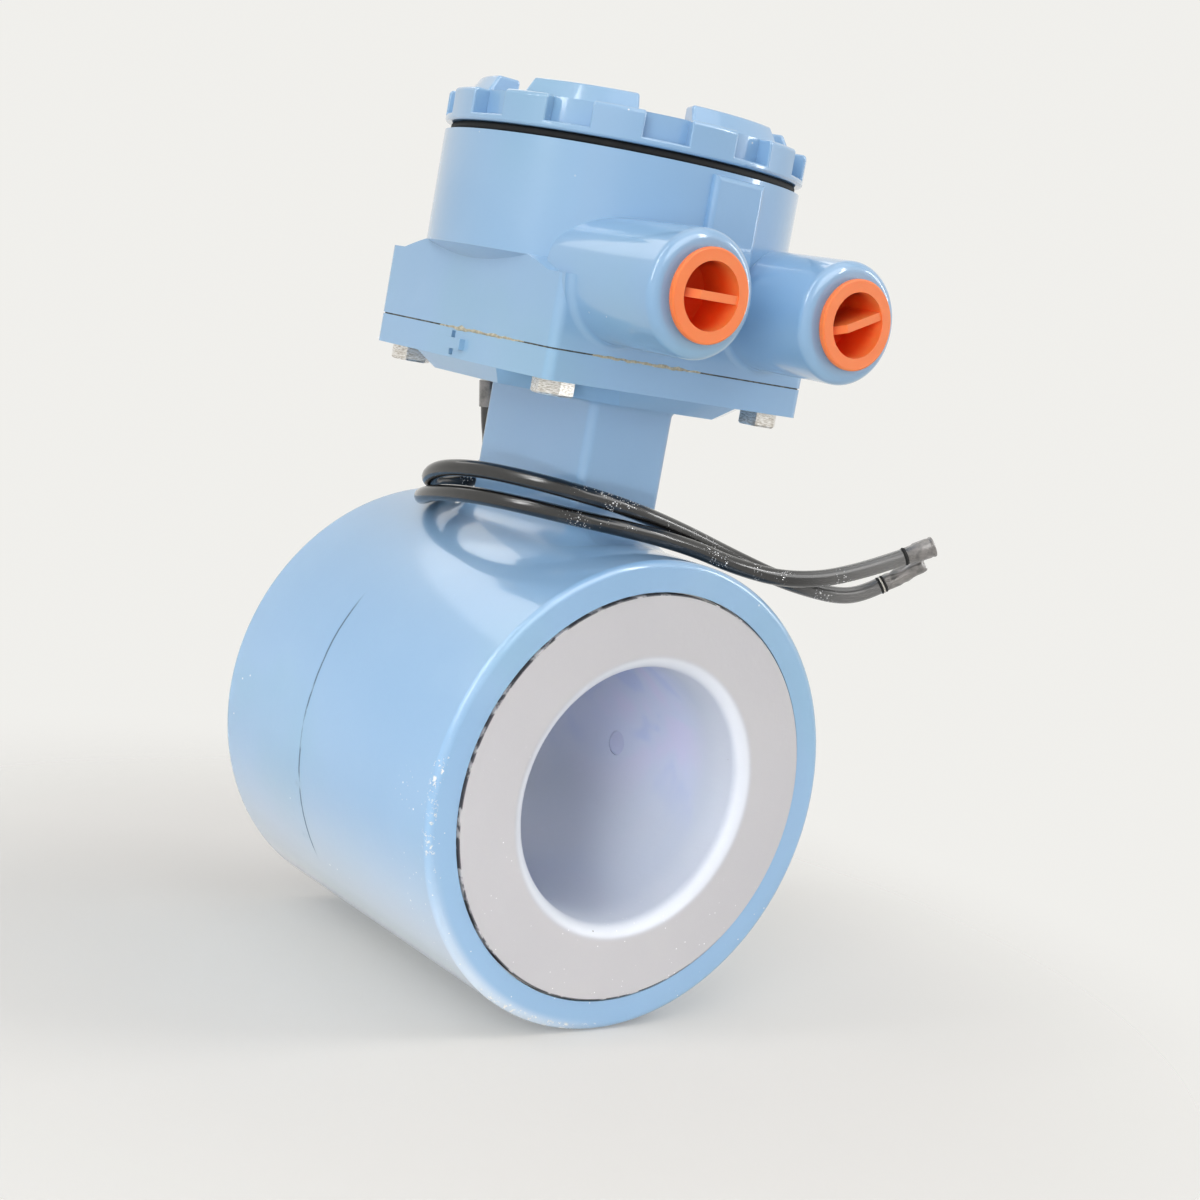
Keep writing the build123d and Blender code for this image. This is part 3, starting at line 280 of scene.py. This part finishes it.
def liner_polymer():
    """Warm grey moulded lining with a dark edge and dust; down the bore a cool painted reflection of the blue
    body with a painted lit side, and a pale painted highlight on the lip.
    """
    lining = Finish("moulded_lining", roughness=0.38, ior=1.42)
    lining.shader.inputs["Subsurface Weight"].default_value = 0.12
    lining.shader.inputs["Subsurface Radius"].default_value = (0.004, 0.004, 0.004)
    radius = lining.radius()
    face = lining.mix((0.535, 0.525, 0.54), (0.60, 0.585, 0.59), lining.cloud(24, detail=4))
    # Painted reflection: down the bore the colour is a cool blue-lilac reflection of the blue body, with
    # lighter and bluer painted reflection blotches; the lower part and the front end of the bore are painted
    # lighter, as lit.
    bore_painted_reflection = lining.mix((0.56, 0.62, 0.82), (0.64, 0.69, 0.84), lining.cloud(30, detail=3))
    painted_reflection_swirl = lining.cloud(22, detail=2, distortion=1.5)
    bore_painted_reflection = lining.mix(bore_painted_reflection, (0.66, 0.64, 0.84), painted_reflection_swirl.rise(0.45, 0.62) * 0.7)
    bore_painted_reflection = lining.mix(bore_painted_reflection, (0.50, 0.58, 0.82), painted_reflection_swirl.rise(0.46, 0.34) * 0.7)
    lit_side = lining.z.rise(8 * MM, -20 * MM).larger(lining.y.rise(-30 * MM, -46 * MM))
    bore_painted_reflection = lining.mix(bore_painted_reflection, (0.59, 0.64, 0.71), lit_side * 0.85)
    colour = lining.mix(bore_painted_reflection, face, radius.rise(BORE_RADIUS + 1.5 * MM, BORE_RADIUS + 4.5 * MM))
    # Painted highlight: a pale ring on the rounded lip at the front of the bore.
    painted_lip_highlight = radius.band(BORE_RADIUS + 1.6 * MM, 0.8 * MM, 1.4 * MM)
    painted_lip_highlight = painted_lip_highlight * lining.y.rise(-40 * MM, -52 * MM)
    colour = lining.mix(colour, (0.84, 0.86, 0.90), painted_lip_highlight * 0.65)
    edge = radius.rise(LINER_EDGE - 0.3 * MM, LINER_EDGE)
    edge = edge * lining.x.rise(46 * MM, 12 * MM) * lining.cloud(240, detail=3).rise(0.38, 0.5)
    colour = lining.mix(colour, (0.07, 0.07, 0.08), edge)
    front = lining.y.rise(-44 * MM, -52 * MM)
    low = lining.z.rise(-20 * MM, -38 * MM)
    left = lining.x.rise(-34 * MM, -40 * MM) * lining.z.rise(24 * MM, 4 * MM) * 0.8
    dust = lining.specks(1100, 0.25, 0.10) * front * low.larger(left)
    dust = dust * lining.cloud(90, detail=3).rise(0.45, 0.6)
    dark = lining.specks(170, 0.05, 0.16) * lining.y.rise(40 * MM, -60 * MM)
    stain = lining.cloud(55, detail=5, roughness=0.65).rise(0.60, 0.72)
    stain = stain * radius.rise(BORE_RADIUS, BORE_RADIUS - MM)
    colour = lining.mix(colour, (0.42, 0.43, 0.60), stain * 0.35)
    colour = lining.mix(colour, (0.95, 0.95, 0.95), dust)
    colour = lining.mix(colour, (0.20, 0.18, 0.17), dark * 0.8)
    grain = lining.cloud(500, detail=3) * 0.4 + lining.cloud(45, detail=1)
    return lining.surface(
        base_color=colour,
        roughness=0.36 + dust * 0.4 + lining.cloud(60) * 0.08,
        normal=lining.bump(grain, 0.12 * MM),
    )


def moulded_orange():
    """Plug plastic: bright on the rim, with painted shade down in the cup, deeper red-orange, and a painted
    shadow in its upper left.
    """
    plastic = Finish("orange_plug_plastic", roughness=0.42)
    plastic.shader.inputs["Subsurface Weight"].default_value = 0.35
    plastic.shader.inputs["Subsurface Radius"].default_value = (0.004, 0.0012, 0.0004)
    outward = plastic.x.size() - PLUG_SIDE
    upward = plastic.z - PLUG_HEIGHT
    from_centre = (outward * outward + upward * upward) ** 0.5
    in_cup = from_centre.rise(CUP_RADIUS + 0.85 * MM, CUP_RADIUS + 0.25 * MM)
    # Painted shade: the colour deepens and darkens down in the cup, and a painted shadow darkens the upper
    # left inside it.
    painted_cup_shade = plastic.y.rise(PLUG_FRONT + 0.5 * MM, PLUG_FRONT + 6.7 * MM) * in_cup
    rim = plastic.mix((1.0, 0.215, 0.048), (1.0, 0.255, 0.070), plastic.cloud(220, detail=3))
    rightward = outward * plastic.x.rise(-1 * MM, MM) - outward * plastic.x.rise(MM, -1 * MM)
    painted_cup_shadow = (upward - rightward).rise(1 * MM, 9 * MM) * painted_cup_shade
    colour = plastic.mix(rim, (0.95, 0.105, 0.014), painted_cup_shade)
    colour = plastic.mix(colour, (0.05, 0.001, 0.0005), painted_cup_shadow)
    flow = plastic.cloud(150, detail=4, stretch=(1, 3, 1))
    return plastic.surface(
        base_color=colour,
        roughness=0.36 + flow * 0.16,
        normal=plastic.bump(flow + plastic.cloud(900) * 0.2, 0.05 * MM),
    )


def bolt_steel():
    """Pale stainless heads with turned and rubbed marks."""
    steel = Finish("bolt_stainless", metallic=1.0)
    marks = steel.cloud(900, detail=4, stretch=(1, 1, 6))
    tint = steel.mix((0.50, 0.46, 0.40), (0.90, 0.88, 0.85), marks.rise(0.35, 0.6))
    stain = steel.cloud(260, detail=4).rise(0.58, 0.72)
    return steel.surface(
        base_color=steel.mix(tint, (0.36, 0.30, 0.24), stain * 0.5),
        roughness=0.24 + marks * 0.22 + stain * 0.2,
        normal=steel.bump(marks, 0.03 * MM),
    )


def turned_steel():
    """Machined stainless with rings round the flow axis."""
    steel = Finish("turned_stainless", metallic=1.0)
    rings = (steel.radius() * 9000).math("SINE") * 0.5 + 0.5
    marks = steel.cloud(300, detail=3)
    return steel.surface(
        base_color=steel.mix((0.56, 0.56, 0.55), (0.74, 0.74, 0.73), marks),
        roughness=0.28 + marks * 0.2,
        normal=steel.bump(rings * 0.4 + marks, 0.02 * MM),
    )


def copper_wire():
    """Varnished winding: close turns of wire."""
    wire = Finish("varnished_winding", metallic=0.8, coat_roughness=0.15)
    turns = (wire.y * 7000).math("SINE").larger((wire.x * 7000).math("SINE"))
    tone = wire.mix((0.40, 0.12, 0.04), (0.72, 0.30, 0.12), turns * 0.5 + 0.5)
    return wire.surface(
        base_color=tone,
        roughness=0.35 + wire.cloud(200) * 0.2,
        coat_weight=0.4,
        normal=wire.bump(turns, 0.2 * MM),
    )


def core_iron():
    """Dark stacked sheets with a little rust."""
    iron = Finish("laminated_core", metallic=0.9)
    sheets = (iron.y * 4500).math("SINE") * 0.5 + 0.5
    rust = iron.cloud(120, detail=5).rise(0.6, 0.75)
    tone = iron.mix((0.16, 0.16, 0.17), (0.28, 0.28, 0.29), sheets)
    return iron.surface(
        base_color=iron.mix(tone, (0.25, 0.13, 0.07), rust * 0.4),
        roughness=0.5 + rust * 0.3,
        normal=iron.bump(sheets, 0.1 * MM),
    )


def insulator():
    """Off-white insulating sleeve."""
    ceramic = Finish("white_insulator", roughness=0.5)
    grain = ceramic.cloud(500, detail=3)
    return ceramic.surface(
        base_color=ceramic.mix((0.78, 0.77, 0.72), (0.86, 0.85, 0.81), grain),
        roughness=0.45 + grain * 0.15,
        normal=ceramic.bump(grain, 0.03 * MM),
    )


def joint_gasket():
    """Dark edge of the sheet gasket in the joint."""
    sheet = Finish("joint_gasket", roughness=0.7)
    grain = sheet.cloud(500, detail=4)
    return sheet.surface(
        base_color=sheet.mix((0.06, 0.065, 0.06), (0.20, 0.19, 0.15), grain.rise(0.4, 0.7)),
        roughness=0.6 + grain * 0.2,
        normal=sheet.bump(grain, 0.1 * MM),
    )


def black_rubber():
    """Seal rubber, matt with a bloom of dust."""
    rubber = Finish("seal_rubber", roughness=0.6)
    bloom = rubber.cloud(260, detail=4)
    return rubber.surface(
        base_color=rubber.mix((0.003, 0.003, 0.003), (0.012, 0.012, 0.012), bloom.rise(0.45, 0.8)),
        roughness=0.6 + bloom * 0.25,
        normal=rubber.bump(bloom, 0.05 * MM),
    )


def electrode_metal():
    """Dull measuring face, lilac-grey as a painted reflection of the blue body, close to the colour of the
    lining round it.
    """
    metal = Finish("electrode_face", metallic=0.2)
    film = metal.cloud(400, detail=4)
    return metal.surface(
        # Painted reflection: the lilac-blue tint, as on the bore round it.
        base_color=metal.mix((0.50, 0.54, 0.74), (0.58, 0.62, 0.80), film),
        roughness=0.4 + film * 0.2,
        normal=metal.bump(film, 0.02 * MM),
    )


def sealant():
    """Tan sealing compound that has been smeared along the joint."""
    paste = Finish("tan_sealant", roughness=0.6)
    lumps = paste.cloud(700, detail=5, roughness=0.65)
    return paste.surface(
        base_color=paste.ramp(
            lumps, (0.25, (0.20, 0.19, 0.15)), (0.5, (0.46, 0.42, 0.30)), (0.75, (0.70, 0.66, 0.52))
        ),
        roughness=0.5 + lumps * 0.3,
        normal=paste.bump(lumps, 0.25 * MM),
    )


def strap_jacket():
    """Shiny black jacket, greyer towards the far end, with clusters of small white grains."""
    jacket = Finish("black_strap_jacket", ior=1.6, coat_roughness=0.12)
    scrape = jacket.cloud(160, detail=5, roughness=0.7)
    clusters = jacket.cloud(110, detail=3).rise(0.52, 0.62) * jacket.x.band(22 * MM, 34 * MM, 12 * MM)
    grains = jacket.specks(1700, 0.36, 0.55).larger(jacket.specks(1000, 0.32, 0.30)) * clusters
    film = (scrape.rise(0.5, 0.75) * 0.12).larger(jacket.x.rise(44 * MM, 70 * MM) * 0.9)
    colour = jacket.mix((0.0035, 0.0032, 0.0030), (0.15, 0.145, 0.14), film)
    colour = jacket.mix(colour, (0.92, 0.91, 0.89), grains)
    return jacket.surface(
        base_color=colour,
        roughness=0.15 + scrape * 0.12 + grains * 0.4,
        coat_weight=(1 - grains) * 0.5,
        normal=jacket.bump(scrape * 0.5 + grains, 0.07 * MM),
    )


def shrink_sleeve():
    """Thin black sleeve, a little greyer than the jacket."""
    sleeve = Finish("black_shrink_sleeve", ior=2.0, coat_weight=0.6, coat_roughness=0.2)
    folds = sleeve.cloud(300, detail=4, roughness=0.6)
    return sleeve.surface(
        base_color=sleeve.mix((0.030, 0.027, 0.025), (0.21, 0.19, 0.175), folds.rise(0.25, 0.65)),
        roughness=0.28 + folds * 0.2,
        normal=sleeve.bump(folds, 0.15 * MM),
    )


def clear_band():
    """Pale ring where the clear under-jacket shows."""
    band = Finish("pale_band", roughness=0.3)
    grain = band.cloud(400, detail=2)
    return band.surface(
        base_color=band.mix((0.62, 0.56, 0.48), (0.80, 0.76, 0.68), grain),
        roughness=0.28 + grain * 0.1,
    )


def tinned():
    """Tinned ring lug."""
    metal = Finish("tinned_lug", metallic=1.0)
    wear = metal.cloud(500, detail=4)
    return metal.surface(
        base_color=metal.mix((0.50, 0.50, 0.48), (0.75, 0.75, 0.72), wear),
        roughness=0.3 + wear * 0.25,
        normal=metal.bump(wear, 0.04 * MM),
    )


def terminal_moulding():
    """Near-black terminal block."""
    plastic = Finish("terminal_moulding", roughness=0.45)
    grain = plastic.cloud(600, detail=3)
    return plastic.surface(
        base_color=plastic.mix((0.02, 0.02, 0.022), (0.05, 0.05, 0.05), grain),
        roughness=0.4 + grain * 0.2,
        normal=plastic.bump(grain, 0.04 * MM),
    )


FINISHES = {
    "housing_paint": enamel(),
    "liner_polymer": liner_polymer(),
    "stainless": turned_steel(),
    "bolt_steel": bolt_steel(),
    "insulator": insulator(),
    "copper_winding": copper_wire(),
    "core_iron": core_iron(),
    "gasket_tan": sealant(),
    "seal_rubber": black_rubber(),
    "plug_orange": moulded_orange(),
    "terminal_moulding": terminal_moulding(),
    "tinned_lug": tinned(),
    "strap_jacket": strap_jacket(),
    "black_sleeve": shrink_sleeve(),
}

for subpart in frame["record"]["subparts"]:
    solid = frame["nodes"][subpart["node"]]
    solid.data.materials.clear()
    solid.data.materials.append(FINISHES[subpart["material_slot"]])
frame["nodes"]["box_gasket"].data.materials[0] = joint_gasket()
electrode_face = electrode_metal()
for name in ("electrode_left", "electrode_right"):
    frame["nodes"][name].data.materials[0] = electrode_face


# Ground straps: the same routes as the solids
STRAP_RADIUS = 2.4 * MM
STRAP_ROUTES = {
    "upper": [
        (-0.0086, 0.034, 0.0966),
        (-0.0076, 0.0336, 0.090),
        (-0.0056, 0.0332, 0.083),
        (-0.006, 0.0322, 0.076),
        (-0.012, 0.0315, 0.0708),
        (-0.0215, 0.0298, 0.0693),
        (-0.031, 0.0245, 0.071),
        (-0.0356, 0.013, 0.0756),
        (-0.0346, -0.002, 0.0784),
        (-0.029, -0.0175, 0.079),
        (-0.021, -0.0305, 0.0784),
        (-0.008, -0.038, 0.0766),
        (0.013, -0.0376, 0.0718),
        (0.034, -0.0393, 0.0654),
        (0.048, -0.0438, 0.0612),
        (0.058, -0.0482, 0.0594),
        (0.0658, -0.0524, 0.0589),
        (0.0716, -0.0556, 0.0609),
        (0.0758, -0.0582, 0.0644),
    ],
    "lower": [
        (0.0048, 0.034, 0.0956),
        (0.0042, 0.0352, 0.088),
        (0.0015, 0.0378, 0.080),
        (-0.0045, 0.040, 0.0725),
        (-0.013, 0.0403, 0.0672),
        (-0.022, 0.0368, 0.0648),
        (-0.0293, 0.0293, 0.065),
        (-0.034, 0.016, 0.0682),
        (-0.0342, -0.001, 0.071),
        (-0.0288, -0.0175, 0.0718),
        (-0.0175, -0.0318, 0.0712),
        (-0.002, -0.041, 0.0702),
        (0.015, -0.0438, 0.0677),
        (0.030, -0.0455, 0.0638),
        (0.046, -0.050, 0.0618),
        (0.0619, -0.0574, 0.0656),
        (0.0752, -0.0652, 0.074),
    ],
}


def add_piece(shape, name, slot, finish=None):
    """Puts a finished shape on the meter as a smooth piece."""
    bmesh.ops.recalc_face_normals(shape, faces=shape.faces)
    mesh = bpy.data.meshes.new(name)
    shape.to_mesh(mesh)
    shape.free()
    mesh.shade_smooth()
    mesh.set_sharp_from_angle(angle=math.radians(38))
    mesh.materials.append(finish or FINISHES[slot])
    piece = bpy.data.objects.new(name, mesh)
    bpy.context.collection.objects.link(piece)
    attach(piece, "meter")
    return piece


def turned(profile, start, direction, crumple=0.0):
    """Round shape from (distance along, radius) pairs in mm, closed on its own axis."""
    shape = bmesh.new()
    rim = [shape.verts.new((radius * MM, 0, along * MM)) for along, radius in profile]
    sides = [shape.edges.new(pair) for pair in zip(rim, rim[1:])]
    bmesh.ops.spin(
        shape, geom=rim + sides, axis=(0, 0, 1), angle=2 * math.pi, steps=56, use_merge=True
    )
    bmesh.ops.remove_doubles(shape, verts=shape.verts, dist=1e-6)
    for vert in shape.verts:
        fold = noise.noise(vert.co * 480) + 0.5 * noise.noise(vert.co * 1100)
        dent = min(fold, 0.1) * crumple * MM
        radial = Vector((vert.co.x, vert.co.y, 0))
        if radial.length > 0.5 * MM:
            vert.co += radial.normalized() * dent + Vector((0, 0, dent * 0.5))
    turn = direction.to_track_quat("Z", "Y").to_matrix().to_4x4()
    bmesh.ops.transform(shape, matrix=Matrix.Translation(start) @ turn, verts=shape.verts)
    return shape


def round_band(near, far, radius):
    """Profile of a band with rounded shoulders that sits on the strap, in mm."""
    shoulder = radius - 0.25
    return [(near, 0), (near, shoulder), ((near + far) / 2, radius), (far, shoulder), (far, 0)]


# Far ends of the straps: bands where each jacket stops, then the black sleeves
END_SLEEVES = {
    "upper": [
        *((0.7, 0), (0.7, 2.3), (1.0, 2.44), (2.0, 2.48), (3.4, 2.4), (4.6, 2.5), (6.0, 2.36), (7.2, 2.42)),
        *((8.6, 2.25), (9.8, 2.3), (11.2, 2.08), (12.4, 2.1), (13.4, 1.92), (13.7, 1.6), (12.6, 1.4)),
        *((11.2, 1.35), (11.2, 0)),
    ],
    "lower": [
        *((0.6, 0), (0.6, 2.3), (0.9, 2.48), (2.9, 2.54), (3.3, 2.78), (3.7, 2.86), (7.4, 2.94), (7.7, 2.84)),
        *((8.1, 2.84), (8.4, 2.98), (8.8, 3.0), (9.0, 2.88), (9.0, 2.6), (6.4, 2.45), (6.2, 0)),
    ],
}
END_BANDS = {
    "upper": [(-1.3, -0.5, 2.62, "black"), (-0.5, 0.0, 2.66, "pale"), (0.0, 0.8, 2.62, "black")],
    "lower": [(-0.4, 0.7, 2.68, "black")],
}
BAND_FINISHES = {"black": FINISHES["seal_rubber"], "pale": clear_band()}
CRUMPLES = {"upper": 0.75, "lower": 0.0}


def strap_end(name):
    """Bands and sleeve at the far end of a strap."""
    last = Vector(STRAP_ROUTES[name][-1])
    direction = (last - Vector(STRAP_ROUTES[name][-2])).normalized()
    shape = turned(END_SLEEVES[name], last, direction, CRUMPLES[name])
    sleeve = add_piece(shape, f"far_sleeve_{name}", "black_sleeve")
    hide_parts(f"end_sleeve_{name}")
    pieces = [sleeve]
    for near, far, radius, finish in END_BANDS[name]:
        band = turned(round_band(near, far, radius), last, direction)
        label = f"far_band_{name}_{len(pieces)}"
        pieces.append(add_piece(band, label, "black_sleeve", BAND_FINISHES[finish]))
    return pieces


def strap(name):
    """Strap jacket along its route, with its end pieces."""
    line = bpy.data.curves.new(f"strap_jacket_{name}", "CURVE")
    line.dimensions = "3D"
    line.bevel_depth = STRAP_RADIUS
    line.bevel_resolution = 6
    line.resolution_u = 24
    line.use_fill_caps = True
    route = line.splines.new("NURBS")
    route.points.add(len(STRAP_ROUTES[name]) - 1)
    for point, place in zip(route.points, STRAP_ROUTES[name]):
        point.co = (*place, 1.0)
    route.order_u = 3
    route.use_endpoint_u = True
    jacket = bpy.data.objects.new(f"strap_jacket_{name}", line)
    bpy.context.collection.objects.link(jacket)
    line.materials.append(FINISHES["strap_jacket"])
    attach(jacket, "meter")
    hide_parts(f"ground_strap_{name}")
    strap_end(name)


for name in STRAP_ROUTES:
    strap(name)


# Sealing compound squeezed out of the joint under the junction box
JOINT_HEIGHT = 115.6 * MM
BLOCK_SIDE = 43.95 * MM


def sealant_bead(name, start, end, outward, swell):
    """Uneven bead along the joint, thickest at the share swell of its length."""
    shape = bmesh.new()
    start, end, outward = Vector(start), Vector(end), Vector(outward)
    steps, facets = 120, 6
    rings = []
    for step in range(steps + 1):
        share = step / steps
        lumps = 0.70 + 0.6 * noise.noise(Vector((share * 9, start.x * 90, 0.3)))
        lumps += 0.22 * noise.noise(Vector((share * 40, start.y * 90, 4.1)))
        body = max(0.0, 1 - abs(share - swell) / (swell if share < swell else 1 - swell)) ** 0.6
        height = max(0.2, (0.35 + 0.75 * body) * max(lumps, 0.35)) * MM * min(1, 12 * body + 0.1)
        sag = Vector((0, 0, 0.25 * noise.noise(Vector((share * 20, 7.7, 1.2))) * MM))
        middle = start.lerp(end, share) + sag
        ring = []
        for turn in range(facets + 1):
            angle = math.pi * (turn / facets - 0.5)
            proud = outward * (math.cos(angle) * 0.34 * height - 0.06 * MM)
            upward = Vector((0, 0, math.sin(angle) * height * 0.62))
            ring.append(shape.verts.new(middle + proud + upward))
        rings.append(ring)
    for before, after in zip(rings, rings[1:]):
        for low in range(facets):
            shape.faces.new((before[low], after[low], after[low + 1], before[low + 1]))
    add_piece(shape, name, "gasket_tan")


sealant_bead(
    "sealant_left",
    start=(-BLOCK_SIDE, 11 * MM, JOINT_HEIGHT),
    end=(-BLOCK_SIDE, -31 * MM, JOINT_HEIGHT),
    outward=(-1, 0, 0),
    swell=0.28,
)
sealant_bead(
    "sealant_front",
    start=(-31 * MM, -BLOCK_SIDE, JOINT_HEIGHT),
    end=(6 * MM, -BLOCK_SIDE, JOINT_HEIGHT),
    outward=(0, -1, 0),
    swell=0.62,
)


# Pale floor and soft studio light
BACKGROUND = (0.875, 0.867, 0.838)


def studio_floor():
    """Floor that takes the shadow and fades into the background further out."""
    finish = Finish("studio_floor", roughness=0.95)
    finish.surface(base_color=(0.755, 0.73, 0.695))
    distance = (finish.x * finish.x + finish.y * finish.y) ** 0.5
    clearness = distance.rise(0.12, 0.28) * 0.80 + 0.20
    clear = finish.make("ShaderNodeBsdfTransparent")
    solid = Signal(finish, finish.shader.outputs[0])
    blend = finish.make("ShaderNodeMixShader", {0: clearness, 1: solid, 2: clear})
    output = finish.tree.nodes["Material Output"]
    finish.tree.links.new(blend.socket, output.inputs["Surface"])
    shape = bmesh.new()
    bmesh.ops.create_circle(shape, cap_ends=True, segments=64, radius=0.5)
    bmesh.ops.translate(shape, verts=shape.verts, vec=(0, 0, -BODY_RADIUS - 0.2 * MM))
    mesh = bpy.data.meshes.new("studio_floor")
    shape.to_mesh(mesh)
    shape.free()
    mesh.materials.append(finish.material)
    floor = bpy.data.objects.new("studio_floor", mesh)
    bpy.context.collection.objects.link(floor)


def studio_air(glow):
    """Even light from all round. What the camera and the gloss see is the pale background."""
    world = bpy.data.worlds.new("studio_air")
    world.use_nodes = True
    bpy.context.scene.world = world
    nodes, links = world.node_tree.nodes, world.node_tree.links
    path = nodes.new("ShaderNodeLightPath")
    seen = path.outputs["Is Camera Ray"]
    for ray in ("Is Glossy Ray", "Is Transmission Ray"):
        either = nodes.new("ShaderNodeMath")
        either.operation = "MAXIMUM"
        links.new(seen, either.inputs[0])
        links.new(path.outputs[ray], either.inputs[1])
        seen = either.outputs[0]
    light = nodes.new("ShaderNodeBackground")
    light.inputs["Color"].default_value = (0.98, 0.99, 1.0, 1.0)
    light.inputs["Strength"].default_value = glow
    backdrop = nodes["Background"]
    backdrop.inputs["Color"].default_value = (*BACKGROUND, 1.0)
    backdrop.inputs["Strength"].default_value = 1.0
    both = nodes.new("ShaderNodeMixShader")
    links.new(seen, both.inputs[0])
    links.new(light.outputs[0], both.inputs[1])
    links.new(backdrop.outputs[0], both.inputs[2])
    links.new(both.outputs[0], nodes["World Output"].inputs["Surface"])


def softbox(name, place, target, size, power, glossy=True, diffuse=True, spread=180):
    """Square or strip light, which can be left out of the gloss or show in the gloss alone."""
    light = bpy.data.lights.new(name, "AREA")
    light.shape = "RECTANGLE"
    light.size, light.size_y = size
    light.energy = power
    light.spread = math.radians(spread)
    lamp = bpy.data.objects.new(name, light)
    lamp.location = place
    aim = Vector(target) - Vector(place)
    lamp.rotation_euler = aim.to_track_quat("-Z", "Y").to_euler()
    lamp.visible_camera = False
    lamp.visible_glossy = glossy
    lamp.visible_diffuse = diffuse
    bpy.context.collection.objects.link(lamp)


bpy.context.scene.view_settings.view_transform = "Standard"
studio_floor()
studio_air(0.55)
softbox("overhead", (0.05, -0.20, 1.00), (0.0, 0.0, 0.05), (0.80, 0.80), 1.6)
softbox("strap_gleam", (-0.05, -0.90, 0.95), (0.0, 0.0, 0.08), (1.10, 0.80), 7.0, diffuse=False)
softbox("boss_gleam", (0.00, 0.80, 0.75), (0.0, 0.0, 0.10), (1.10, 0.30), 1.2, diffuse=False)
softbox("front_left", (-0.95, -0.75, 0.60), (0.0, 0.0, 0.05), (0.60, 0.60), 2.8, glossy=False)
softbox("low_left", (-0.75, -0.60, 0.10), (0.0, 0.0, 0.0), (0.50, 0.50), 2.3, glossy=False)
softbox("body_fill", (-0.75, -0.60, 0.00), (0.0, 0.0, -0.03), (0.35, 0.10), 0.08, glossy=False, spread=24)
softbox("right_side", (0.95, -0.30, 0.75), (0.0, 0.0, 0.0), (0.50, 0.50), 4.5, glossy=False)
softbox("left_strip", (-0.70, 0.05, 0.85), (0.0, 0.0, 0.08), (0.08, 0.55), 1.3)
softbox("right_strip", (0.45, -0.75, 0.70), (0.0, 0.0, 0.08), (0.08, 0.50), 1.8, diffuse=False)
softbox("left_gleam", (-0.90, -0.10, 0.50), (0.0, 0.0, 0.10), (0.12, 0.50), 2.0, diffuse=False)
softbox("right_gleam", (0.80, -0.55, 0.35), (0.0, 0.0, 0.10), (0.12, 0.50), 2.0, diffuse=False)
